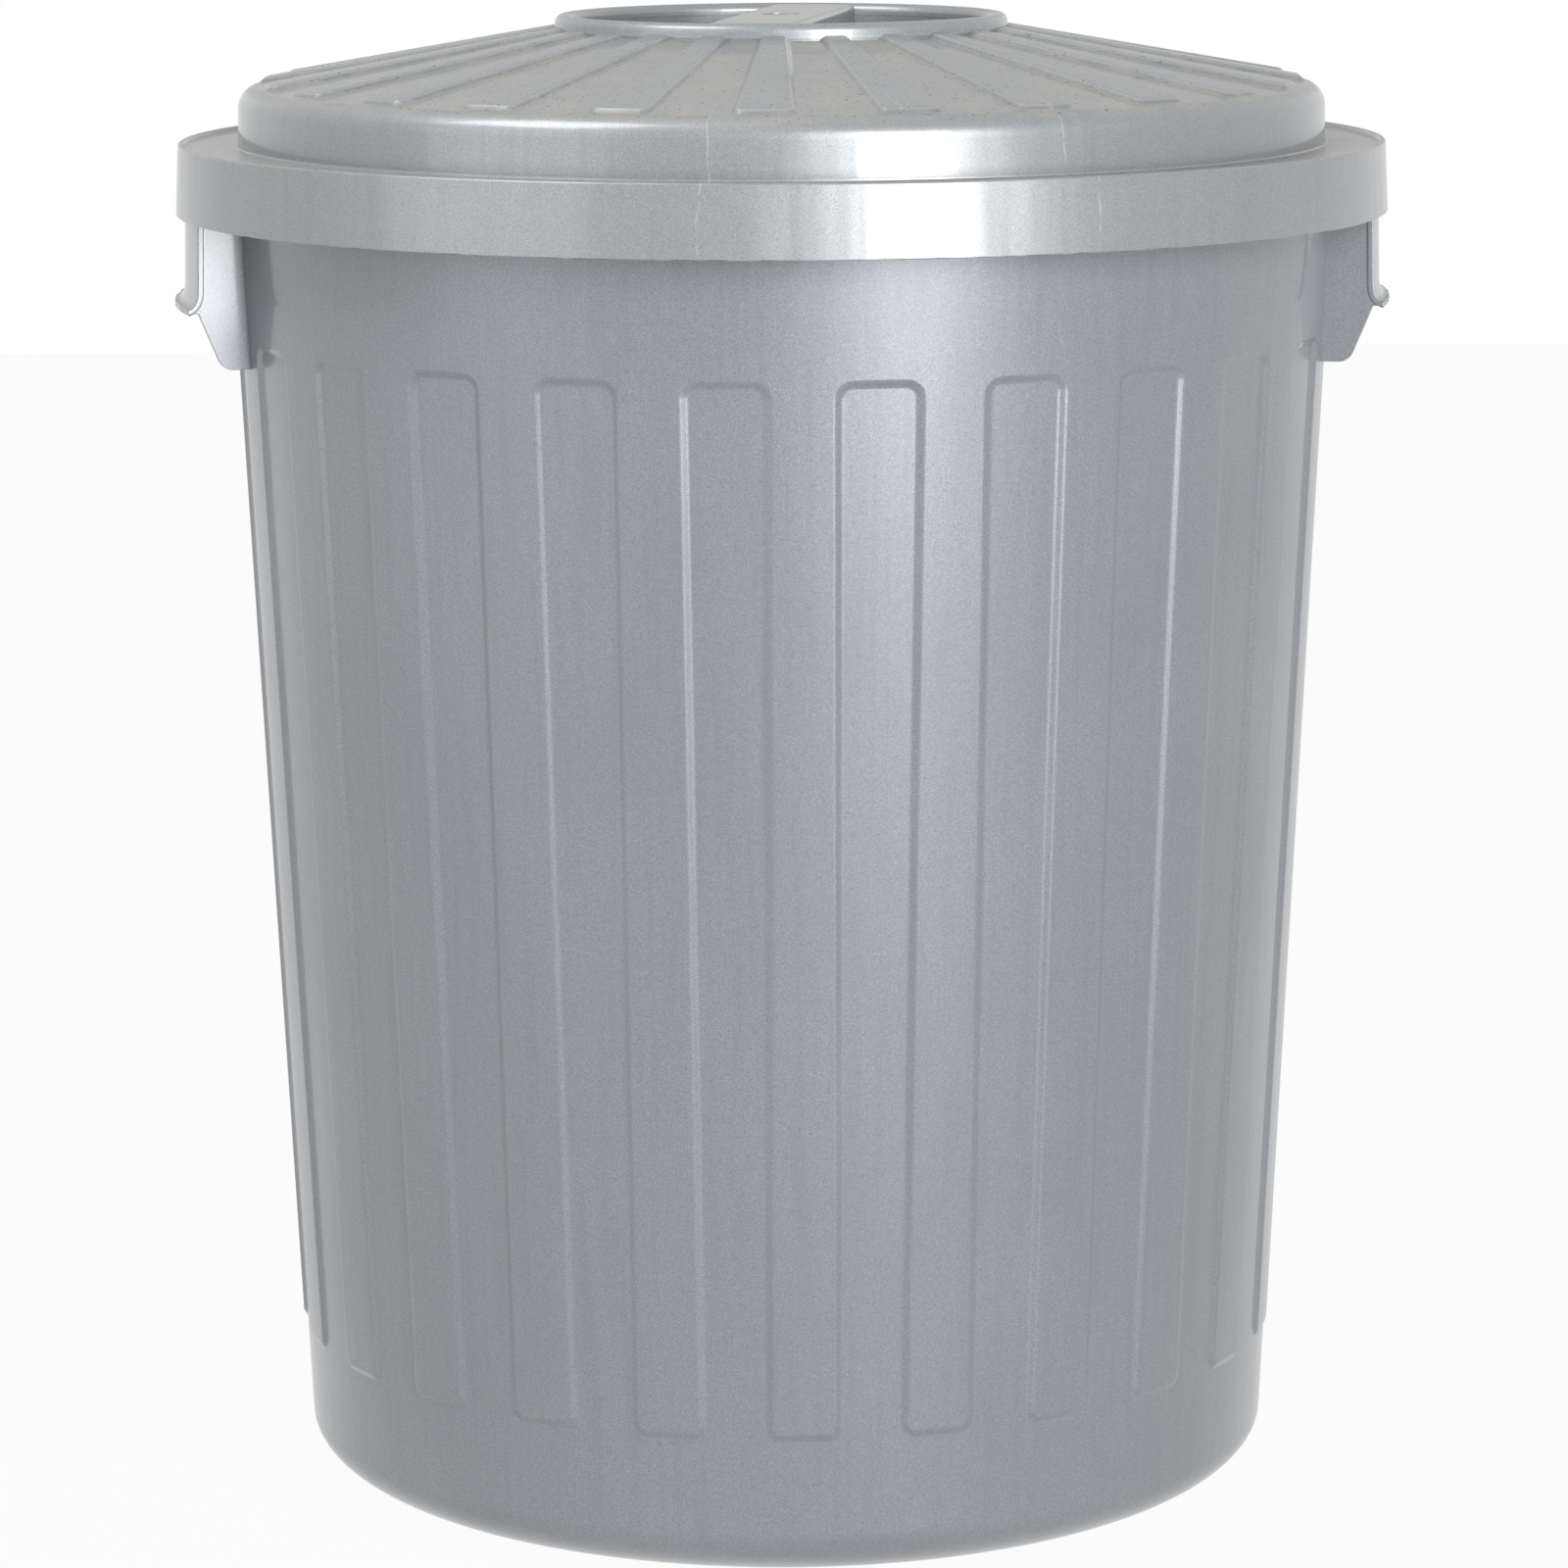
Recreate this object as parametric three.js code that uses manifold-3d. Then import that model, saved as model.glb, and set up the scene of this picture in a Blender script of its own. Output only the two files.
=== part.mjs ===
// Round plastic rubbish bin with a lift-off lid.
// Two injection mouldings: the ribbed bin with its rim and two pocket handles,
// and the lid with its radial ribs, finger wells and grip ridge.
// Millimetres, +Z up, origin on the floor under the middle, handles along X.

import * as THREE from 'three';
import { mergeVertices } from 'three/addons/utils/BufferGeometryUtils.js';
import Module from 'manifold-3d';

const wasm = await Module();
wasm.setup();

// ---- driving dimensions -------------------------------------------------

const segments = 72;            // facets round the bin and the lid
const edgeRound = 0.8;          // small rounding of the moulded edges
const bury = 0.5;               // how deep a web or rib is rooted in what carries it
const cutMargin = 1;            // a cutting shape runs this far past what it cuts

// bin wall
const wall = 2.4;               // moulded wall of the bin
const baseEdgeRadius = 202.5;   // bin radius just above the rounded base edge
const baseEdgeHeight = 24;      // height of that rounding
const baseEdgeWidth = 45;       // how far it reaches in, to the foot ring
const footWidth = 9;            // width of the flat foot ring
const baseRaise = 5;            // the base stands this far off the floor
const wallDraft = 0.0471;       // radius gained per millimetre of height
const rimHeight = 557;          // top of the rim above the floor

// vertical ribs of the bin
const ribCount = 24;
const ribStep = 1.6;            // how far a rib stands proud of its recess
const ribBevel = 2.6;           // width of the sloping step beside a rib
const ribFootHeight = 63;       // lower ends of the ribs
const bandHeight = 72.6;        // plain band from the ribs' heads up to the rim's top
const ribHalfWidth = 14;        // half width where a rib's sides start
const ribFootCorner = 6;        // rounded lower corners
const recessCorner = 6;         // rounded upper corners of the recesses

// rim and pocket handles
const rimOverhang = 16.5;       // rim's width outside the wall
const lipDraft = 0.02;          // the down-turned lip widens this much per millimetre
const lipDrop = 21;             // depth of the lip, except at the handles
const handleDrop = 61.8;        // rim's top to the lower edge of a handle's front wall
const handleFlare = 4.4;        // how far that edge turns outward
const handleFlareHeight = 9;    // height of the turned edge
const webDrop = 84.2;           // rim's top to the lower edge of a side web
const webToe = 11.6;            // length of that lower edge out from the wall
const webCorner = 4;            // its rounded corner

// lid
const lidWall = 2.2;            // moulded wall of the lid
const lidDraft = 0.02;          // slope of its upright walls
const seatGap = 0.3;            // lid flange over the rim
const skirtGap = 0.9;           // lid skirt round the rim's lip
const skirtDepth = 28.8;        // height of the skirt
const skirtDraft = 0.048;       // the skirt widens this much per millimetre down
const edgeBead = 1.6;           // fine raised bead round the lid's edge
const domeInset = 1.6;          // upright side of the raised middle, inside the bin's mouth
const shoulderRadius = 9;       // rounding over that side
const coneDrop = 0.1735;        // fall of the lid's top per millimetre outward
const coneRise = 45.9;          // flange to the top of the cone, at the collar
const collarRadius = 93.3;      // outside of the collar round the finger wells
const collarWidth = 6.8;        // thickness of the rounded collar
const collarRise = 7;           // collar's top above the cone's top
const wellDepth = 30;           // finger wells below the collar's top
const wellCorner = 3;           // hollow corner round their floor

// radial ribs of the lid
const lidRibCount = 24;
const lidRibStep = 2;
const lidRibBevel = 2.6;
const lidRibInset = 7.6;        // the ribs end this far inside the dome's side
const lidRibHalfInner = 6.6;    // half width at the collar
const lidRibHalfOuter = 13;     // half width at the outer end
const lidRibCorner = 4;

// grip ridge across the finger wells
const ridgeWidth = 35.5;        // width of its flat top
const ridgeDraft = 0.04;        // slope of each of its sides
const ridgeRound = 2.5;         // rounded top edges
const ridgeBelowCollar = 0.6;   // its top lies just under the collar's top
const gateRadius = 8.2;         // shallow round moulding mark at its middle
const gateDepth = 0.6;
const lidTurn = -3.7;           // how the lid happens to be turned on the bin, in degrees

// ---- shared shapes ------------------------------------------------------

const toRadians = THREE.MathUtils.degToRad;
const point = (x, y) => new THREE.Vector2(x, y);

// A closed mesh with its shared vertices merged, as a solid that can be joined and cut.
function solid(geometry) {
  geometry.deleteAttribute('normal');
  geometry.deleteAttribute('uv');
  const merged = mergeVertices(geometry, 1e-3);
  const index = merged.index.array;
  const triangles = [];
  for (let i = 0; i < index.length; i += 3) {
    const [a, b, c] = [index[i], index[i + 1], index[i + 2]];
    if (a !== b && b !== c && c !== a) triangles.push(a, b, c);
  }
  return new wasm.Manifold(new wasm.Mesh({
    numProp: 3,
    vertProperties: new Float32Array(merged.attributes.position.array),
    triVerts: new Uint32Array(triangles)
  }));
}

// Turns an outline of [radius, height] points round the Z axis. It starts and
// ends on the axis or closes on itself.
function turned(outline) {
  const profile = outline.map(([r, z]) => point(Math.max(r, 0), z));
  const onAxis = outline[0][0] === 0 && outline[outline.length - 1][0] === 0;
  if (!onAxis) profile.push(profile[0].clone());
  const area = profile.reduce((sum, p, i) => {
    const q = profile[(i + 1) % profile.length];
    return sum + p.x * q.y - q.x * p.y;
  }, 0);
  if (area < 0) profile.reverse();
  return solid(new THREE.LatheGeometry(profile, segments).rotateX(Math.PI / 2));
}

// Points along an ellipse from angle `from` to angle `to`, both in degrees.
function arc(centreR, centreZ, radiusR, radiusZ, from, to, steps) {
  return Array.from({ length: steps + 1 }, (_, i) => {
    const angle = toRadians(from + (to - from) * i / steps);
    return [centreR + radiusR * Math.cos(angle), centreZ + radiusZ * Math.sin(angle)];
  });
}

// A tapered bar with sloping sides that trims a raised layer down to one rib.
// It lies along +Y from its foot, its sides lean inward as it rises along +Z.
// `dip` is how far the layer falls away beside the rib. `head` is the radius of
// the hollow corners where the rib runs into a plain band.
function ribTrimmer({ length, halfFoot, halfHead, step, bevel, corner, dip, head }) {
  const slope = bevel / step;
  const below = dip + bury;
  const inset = (step + cutMargin) * slope;
  const round = Math.max(corner - inset, edgeRound);
  const foot = halfFoot - inset;
  const top = halfHead - inset;
  const shape = new THREE.Shape();
  shape.moveTo(-foot + round, inset);
  shape.lineTo(foot - round, inset);
  shape.quadraticCurveTo(foot, inset, foot, inset + round);
  if (head) {
    const flare = head + cutMargin * slope;
    const end = length + inset + dip * slope + cutMargin;
    shape.lineTo(top, end - flare);
    shape.quadraticCurveTo(top, end, top + flare, end);
    shape.lineTo(top + flare, end + 2 * bevel);
    shape.lineTo(-top - flare, end + 2 * bevel);
    shape.lineTo(-top - flare, end);
    shape.quadraticCurveTo(-top, end, -top, end - flare);
  } else {
    shape.lineTo(top, length);
    shape.lineTo(-top, length);
  }
  shape.lineTo(-foot, inset + round);
  shape.quadraticCurveTo(-foot, inset, -foot + round, inset);
  const geometry = new THREE.ExtrudeGeometry(shape, {
    depth: step,
    bevelThickness: below + step + cutMargin,
    bevelSize: inset + below * slope,
    bevelSegments: 1,
    curveSegments: 3
  });
  return geometry.translate(0, 0, -step - below);
}

function aroundAxis(geometry, count) {
  return Array.from({ length: count }, (_, i) =>
    solid(geometry.clone().rotateZ(2 * Math.PI * i / count)));
}

const joined = (parts) => parts.reduce((sum, part) => sum.add(part));

// ---- bin ----------------------------------------------------------------

const recessRadius = (z) => baseEdgeRadius + wallDraft * (z - baseEdgeHeight);
const ribRadius = (z) => recessRadius(z) + ribStep;
const footRadius = baseEdgeRadius - baseEdgeWidth;
const ribHeadHeight = rimHeight - bandHeight;
const mouthRadius = recessRadius(rimHeight) - wall;
const lipRadius = ribRadius(rimHeight) + rimOverhang;
const lipOuter = (z) => lipRadius + lipDraft * (rimHeight - z);
const lipEnd = rimHeight - lipDrop;
const rimUnder = rimHeight - wall;
const handleBottom = rimHeight - handleDrop;
const handleTurn = handleBottom + handleFlareHeight;
const webBottom = rimHeight - webDrop;
const webAngle = 2 * Math.PI / ribCount;    // the webs stand on the ribs beside the middle one

function binShell() {
  const floor = baseRaise + wall;
  return turned([
    [0, baseRaise],
    [footRadius - footWidth - baseRaise, baseRaise],
    [footRadius - footWidth, 0],
    ...arc(footRadius, baseEdgeHeight, baseEdgeWidth, baseEdgeHeight, -90, 0, 5),
    [recessRadius(ribHeadHeight - ribBevel), ribHeadHeight - ribBevel],
    [ribRadius(ribHeadHeight), ribHeadHeight],
    [ribRadius(rimUnder), rimUnder],
    [lipOuter(rimUnder) - wall, rimUnder],
    [lipOuter(lipEnd) - wall, lipEnd],
    [lipOuter(lipEnd), lipEnd],
    [lipOuter(rimHeight - edgeRound), rimHeight - edgeRound],
    [lipOuter(rimHeight) - edgeRound, rimHeight],
    [mouthRadius, rimHeight],
    ...arc(footRadius, baseEdgeHeight, baseEdgeWidth - wall, baseEdgeHeight - floor, 0, -90, 4),
    [0, floor]
  ]);
}

function binRibs() {
  const low = ribFootHeight - ribBevel;
  const high = ribHeadHeight + bury;
  const layer = turned([
    [recessRadius(low) - wall / 2, low],
    [ribRadius(low), low],
    [ribRadius(high), high],
    [recessRadius(high) - wall / 2, high]
  ]);
  const lean = Math.atan(wallDraft);
  const trimmer = ribTrimmer({
    length: (ribHeadHeight - ribFootHeight) / Math.cos(lean) - ribBevel,
    halfFoot: ribHalfWidth,
    halfHead: ribHalfWidth,
    step: ribStep,
    bevel: ribBevel,
    corner: ribFootCorner,
    dip: (ribHalfWidth + recessCorner) ** 2 / 2 / recessRadius(ribHeadHeight),
    head: recessCorner
  });
  trimmer.rotateX(Math.PI / 2 + lean).translate(0, -recessRadius(ribFootHeight), ribFootHeight);
  return joined(aroundAxis(trimmer, ribCount)).intersect(layer);
}

// Front wall of a pocket handle, cut from a full ring by a wedge. Its lower
// edge turns outward in a quarter round.
function handleWall() {
  const top = (lipEnd + rimUnder) / 2;
  const end = lipOuter(handleTurn) + handleFlare;
  const ring = turned([
    [lipOuter(top) - wall, top],
    [lipOuter(top), top],
    ...arc(end, handleTurn, handleFlare, handleFlareHeight - wall, 180, 270, 3),
    ...arc(end, handleTurn, handleFlare + wall, handleFlareHeight, 270, 180, 4)
  ]);
  const reach = 1.2 * lipRadius;
  const half = webAngle + wall / 2 / lipRadius;
  const wedge = new THREE.Shape([
    point(0, 0),
    point(reach * Math.cos(half), -reach * Math.sin(half)),
    point(reach * Math.cos(half), reach * Math.sin(half))
  ]);
  const depth = top - handleBottom + 2 * cutMargin;
  const sector = new THREE.ExtrudeGeometry(wedge, { depth, bevelEnabled: false });
  return ring.intersect(solid(sector.translate(0, 0, handleBottom - cutMargin)));
}

// Side web of a pocket handle, standing on the line from the axis. It reaches
// out under the turned edge.
function handleWeb() {
  const toe = ribRadius(webBottom) + webToe;
  const wallFoot = lipOuter(handleBottom) - bury;
  const slope = (wallFoot - toe) / (handleBottom - webBottom);
  const tip = wallFoot + handleFlare - wall / 2;
  const shape = new THREE.Shape();
  shape.moveTo(recessRadius(webBottom) - bury, webBottom);
  shape.lineTo(toe - webCorner, webBottom);
  shape.quadraticCurveTo(toe, webBottom, toe + slope * webCorner, webBottom + webCorner);
  shape.lineTo(wallFoot, handleBottom + bury);
  shape.lineTo(tip, handleBottom + bury);
  shape.lineTo(tip, handleBottom + wall / 2);
  shape.lineTo(lipOuter(handleTurn) - wall + bury, handleTurn);
  shape.lineTo(lipOuter(rimUnder) - wall / 2, rimUnder + wall / 2);
  shape.lineTo(recessRadius(rimUnder) - bury, rimUnder + wall / 2);
  const geometry = new THREE.ExtrudeGeometry(shape, {
    depth: wall, bevelEnabled: false, curveSegments: 3
  });
  return geometry.rotateX(Math.PI / 2).translate(0, wall / 2, 0);
}

function bin() {
  const front = handleWall();
  const web = handleWeb();
  const pieces = [binShell(), binRibs(), front, front.rotate([0, 0, 180])];
  for (const side of [0, Math.PI]) {
    for (const end of [-webAngle, webAngle]) {
      pieces.push(solid(web.clone().rotateZ(side + end)));
    }
  }
  return joined(pieces);
}

// ---- lid ----------------------------------------------------------------

const flangeUnder = rimHeight + seatGap;
const flangeTop = flangeUnder + lidWall;
const domeRadius = mouthRadius - domeInset;
const collarFoot = flangeTop + coneRise;
const coneHeight = (r) => collarFoot - coneDrop * (r - collarRadius);
const coneLean = Math.atan(coneDrop);
const collarTop = collarFoot + collarRise;
const wellRadius = collarRadius - collarWidth;
const wellFloor = collarTop - wellDepth;
const wellFoot = wellRadius - lidDraft * wellDepth;
const ridgeTop = collarTop - ridgeBelowCollar;
const skirtTop = flangeTop + edgeBead;
const skirtEnd = skirtTop - skirtDepth;
const skirtInner = (z) => lipRadius + skirtGap + skirtDraft * (flangeUnder - z);

function lidShell() {
  const round = collarWidth / 2;
  const leanDegrees = THREE.MathUtils.radToDeg(coneLean);
  const shoulderR = domeRadius - shoulderRadius;
  const tangentR = shoulderR + shoulderRadius * Math.sin(coneLean);
  const shoulderZ = coneHeight(tangentR) - shoulderRadius * Math.cos(coneLean);
  const domeFoot = domeRadius + lidDraft * (shoulderZ - flangeTop);
  const inside = shoulderRadius - lidWall;
  const collarInside = collarRadius - lidWall;
  const underCone = lidWall / Math.cos(coneLean);
  const underCollar = collarTop - lidWall - edgeRound;
  const underWell = wellFloor - lidWall;
  return turned([
    [0, wellFloor],
    [wellFoot - wellCorner, wellFloor],
    [wellFoot, wellFloor + wellCorner],
    ...arc(collarRadius - round, collarTop - round, round, round, 180, 0, 5),
    [collarRadius, collarFoot],
    ...arc(shoulderR, shoulderZ, shoulderRadius, shoulderRadius, 90 - leanDegrees, 0, 3),
    [domeFoot, flangeTop],
    [skirtInner(flangeTop) - edgeRound, flangeTop],
    [skirtInner(skirtTop), skirtTop],
    [skirtInner(skirtTop) + lidWall - edgeRound, skirtTop],
    [skirtInner(skirtTop) + lidWall, skirtTop - edgeRound],
    [skirtInner(skirtEnd) + lidWall, skirtEnd],
    [skirtInner(skirtEnd), skirtEnd],
    [skirtInner(flangeUnder), flangeUnder],
    [domeFoot - lidWall, flangeUnder],
    ...arc(shoulderR, shoulderZ, inside, inside, 0, 90 - leanDegrees, 2),
    [collarInside, coneHeight(collarInside) - underCone],
    [collarInside, underCollar],
    [wellRadius + lidWall, underCollar],
    [wellFoot + lidWall, underWell + wellCorner],
    [wellFoot + lidWall - wellCorner, underWell],
    [0, underWell]
  ]);
}

function lidRibs() {
  const ribEnd = domeRadius - lidRibInset;
  const inner = collarRadius - lidWall / 2;
  const outer = ribEnd + cutMargin;
  const lift = lidRibStep / Math.cos(coneLean);
  const layer = turned([
    [inner, coneHeight(inner) - lidWall / 2],
    [outer, coneHeight(outer) - lidWall / 2],
    [outer, coneHeight(outer) + lift],
    [inner, coneHeight(inner) + lift]
  ]);
  const trimmer = ribTrimmer({
    length: (ribEnd - collarRadius) / Math.cos(coneLean) + lidRibBevel,
    halfFoot: lidRibHalfOuter,
    halfHead: lidRibHalfInner,
    step: lidRibStep,
    bevel: lidRibBevel,
    corner: lidRibCorner,
    dip: lidRibHalfOuter ** 2 / 2 * Math.sin(coneLean) / ribEnd
  });
  trimmer.rotateX(coneLean).translate(0, -ribEnd, coneHeight(ribEnd));
  return joined(aroundAxis(trimmer, lidRibCount)).intersect(layer);
}

// A block across the finger wells, over a valley between two ribs. It is `side`
// wider and `up` higher than the ridge itself.
function ridgeBlock(side, up, low, round) {
  const top = ridgeTop + up;
  const halfTop = ridgeWidth / 2 + side;
  const halfLow = halfTop + ridgeDraft * (top - low);
  const shape = new THREE.Shape();
  shape.moveTo(-halfLow, low);
  shape.lineTo(halfLow, low);
  shape.lineTo(halfTop + ridgeDraft * round, top - round);
  shape.quadraticCurveTo(halfTop, top, halfTop - round, top);
  shape.lineTo(-halfTop + round, top);
  shape.quadraticCurveTo(-halfTop, top, -halfTop - ridgeDraft * round, top - round);
  const length = 2 * collarRadius;
  const geometry = new THREE.ExtrudeGeometry(shape, {
    depth: length, bevelEnabled: false, curveSegments: 3
  });
  geometry.rotateX(Math.PI / 2).translate(0, length / 2, 0);
  return solid(geometry.rotateZ(-Math.PI / lidRibCount));
}

function disc(radius, low, high) {
  return turned([[0, low], [radius, low], [radius, high], [0, high]]);
}

function lid() {
  const under = wellFloor - lidWall;
  const ridge = ridgeBlock(0, 0, wellFloor - lidWall / 2, ridgeRound)
    .intersect(disc(wellRadius + lidWall / 2, under, collarTop));
  const hollow = ridgeBlock(-lidWall, -lidWall, under - cutMargin, ridgeRound / 2)
    .intersect(disc(wellFoot - lidWall, under - cutMargin, collarTop));
  const gate = disc(gateRadius, ridgeTop - gateDepth, collarTop + cutMargin);
  return lidShell().add(lidRibs()).add(ridge).subtract(hollow).subtract(gate);
}

// ---- assembly -----------------------------------------------------------

function mesh(name, body, material) {
  const { vertProperties, triVerts } = body.getMesh();
  const geometry = new THREE.BufferGeometry();
  geometry.setAttribute('position', new THREE.BufferAttribute(vertProperties, 3));
  geometry.setIndex(new THREE.BufferAttribute(triVerts, 1));
  geometry.computeVertexNormals();
  const part = new THREE.Mesh(geometry, material);
  part.name = name;
  return part;
}

const binPlastic = new THREE.MeshStandardMaterial({
  color: 0xa0a4a8, roughness: 0.42, metalness: 0.25
});
const lidPlastic = new THREE.MeshStandardMaterial({
  color: 0xa6a9ab, roughness: 0.38, metalness: 0.25
});

const lidPart = mesh('lid', lid(), lidPlastic);
lidPart.rotation.z = toRadians(lidTurn);

const object = new THREE.Group();
object.add(mesh('bin_body', bin(), binPlastic), lidPart);

export default object;
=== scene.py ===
import math

import bmesh
import bpy
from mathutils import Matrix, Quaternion, Vector


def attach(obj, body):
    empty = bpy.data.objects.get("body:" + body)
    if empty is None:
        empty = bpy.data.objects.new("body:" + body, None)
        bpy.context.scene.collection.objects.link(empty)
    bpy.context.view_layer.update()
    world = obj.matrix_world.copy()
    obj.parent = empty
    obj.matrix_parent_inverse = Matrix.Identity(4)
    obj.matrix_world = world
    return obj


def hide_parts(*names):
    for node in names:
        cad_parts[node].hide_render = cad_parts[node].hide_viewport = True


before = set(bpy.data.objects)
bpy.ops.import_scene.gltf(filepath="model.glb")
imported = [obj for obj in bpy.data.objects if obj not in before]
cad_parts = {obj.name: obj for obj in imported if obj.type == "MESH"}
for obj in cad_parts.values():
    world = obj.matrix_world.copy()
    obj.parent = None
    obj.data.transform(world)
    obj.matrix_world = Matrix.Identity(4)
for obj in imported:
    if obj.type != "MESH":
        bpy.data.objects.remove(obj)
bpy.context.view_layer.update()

print("frame loaded")


# what a modeller does in the viewport, by name
def letGo():
    if bpy.context.mode != "OBJECT":
        bpy.ops.object.mode_set(mode="OBJECT")
    bpy.ops.object.select_all(action="DESELECT")


def take(piece):
    letGo()
    piece.select_set(True)
    bpy.context.view_layer.objects.active = piece
    return piece


def named(name):
    piece = bpy.context.object
    piece.name = piece.data.name = name
    return piece


def openUp(piece):
    take(piece)
    bpy.ops.object.mode_set(mode="EDIT")


def middle(part):
    corners = getattr(part, "verts", None)
    if corners is None:
        return part.co
    return sum((corner.co for corner in corners), Vector()) / len(corners)


# selects the vertices, edges or faces of the open mesh that pass a test
def pick(kind, test):
    bpy.ops.mesh.select_mode(type=kind)
    bpy.ops.mesh.select_all(action="DESELECT")
    mesh = bpy.context.object.data
    shape = bmesh.from_edit_mesh(mesh)
    parts = {"VERT": shape.verts, "EDGE": shape.edges, "FACE": shape.faces}[kind]
    parts.ensure_lookup_table()
    shape.normal_update()
    chosen = [part.index for part in parts if test(part)]
    if not chosen:
        raise RuntimeError("nothing was picked on " + bpy.context.object.name)
    for index in chosen:
        parts[index].select_set(True)
    shape.select_flush_mode()
    bmesh.update_edit_mesh(mesh)
    return chosen


def cut(point, normal, **clear):
    bpy.ops.mesh.select_all(action="SELECT")
    bpy.ops.mesh.bisect(plane_co=point, plane_no=normal, threshold=1e-7, **clear)


def grow(factorX, factorY, factorZ, centre=(0, 0, 0)):
    bpy.ops.transform.resize(value=(factorX, factorY, factorZ), center_override=centre)


def shift(x=0, y=0, z=0):
    bpy.ops.transform.translate(value=(x, y, z))


def weld(distance=1e-6):
    bpy.ops.mesh.select_all(action="SELECT")
    bpy.ops.mesh.remove_doubles(threshold=distance)


def settle(piece, kind, **settings):
    take(piece)
    modifier = piece.modifiers.new(kind.lower(), kind)
    for name, value in settings.items():
        setattr(modifier, name, value)
    bpy.ops.object.modifier_apply(modifier=modifier.name)


def fix(piece):
    take(piece)
    bpy.ops.object.transform_apply(location=True, rotation=True, scale=True)


def smoothPiece(piece, degrees=40):
    take(piece)
    bpy.ops.object.shade_smooth_by_angle(angle=math.radians(degrees), keep_sharp_edges=False)
    settle(piece, "WEIGHTED_NORMAL", mode="FACE_AREA", weight=50, keep_sharp=True)


# carries the selected open ring along a profile of radii and heights
def carryRing(radius, height, profile):
    for nextRadius, nextHeight in profile:
        bpy.ops.mesh.extrude_region_move(
            TRANSFORM_OT_translate={"value": (0, 0, nextHeight - height)})
        grow(nextRadius / radius, nextRadius / radius, 1)
        radius, height = nextRadius, nextHeight


# upright cuts through the middle and to both sides, so that the panel can be bent
def sliceUpright(places):
    for place in (0,) + places:
        for side in ((1, -1) if place else (1,)):
            cut((side * place, 0, 0), (1, 0, 0))


# points on a quarter of an ellipse, or a part of it, in degrees
def sweepArc(centreRadius, centreHeight, wide, high, start, end, steps, skip=1):
    turns = [math.radians(start + (end - start) * i / steps) for i in range(skip, steps + 1)]
    return [(centreRadius + wide * math.cos(t), centreHeight + high * math.sin(t)) for t in turns]


# a flat panel is repeated side by side and rolled into a ring, its front face outside or up
def rollUp(panel, pitch, count, lift=0):
    take(panel)
    panel.location.x = -pitch * (count - 1) / 2
    fix(panel)
    settle(panel, "ARRAY", count=count, use_relative_offset=False, use_constant_offset=True,
           constant_offset_displace=(pitch, 0, 0), use_merge_vertices=True, merge_threshold=1e-6)
    settle(panel, "SIMPLE_DEFORM", deform_method="BEND", deform_axis="Z", angle=math.radians(360))
    radius = pitch * count / 2 / math.pi
    panel.location = (0, -radius, 0)
    fix(panel)
    panel.rotation_euler.z = math.pi / count
    panel.location.z = lift
    fix(panel)
    openUp(panel)
    weld()
    letGo()


# the bin: ribbed wall, base, rim and pocket handles, in metres and degrees
binShape = {
    "ribs": 24, "baseRadius": 0.2025, "low": 0.024, "high": 0.5546, "draft": 0.0471,
    "ribFoot": 0.063, "recessTop": 0.4818, "ribHalf": 0.0148, "ribSlope": 0.00245, "ribStep": 0.00152,
    "footCorner": 0.0056, "headCorner": 0.0042, "crease": 0.0007,
    "slices": (0.0021, 0.0042, 0.0063, 0.0084, 0.0103, 0.0128, 0.0153, 0.0175, 0.0198, 0.022, 0.0243),
    "footRadius": 0.1575, "footWidth": 0.009, "baseRaise": 0.005, "wall": 0.0024,
    "lipRadius": 0.2457, "lipDraft": 0.02, "rimHeight": 0.557, "lipEnd": 0.536,
    "handleTurn": 0.5042, "flare": 0.0041, "flareHeight": 0.0088, "handleHalf": 15.56, "tear": 0.0003,
    "webBottom": 0.4728, "webToe": 0.0116, "webCorner": 0.004, "webTurns": (15, -15, 165, -165),
    "rimRound": 0.0009, "handleEdge": 0.0004, "webEdge": 0.00025, "baseRings": (0.09, 0.03),
}


def recessRadius(height, shape=binShape):
    return shape["baseRadius"] + shape["draft"] * (height - shape["low"])


def lipOuter(height, shape=binShape):
    return shape["lipRadius"] + shape["lipDraft"] * (shape["rimHeight"] - height)


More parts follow.
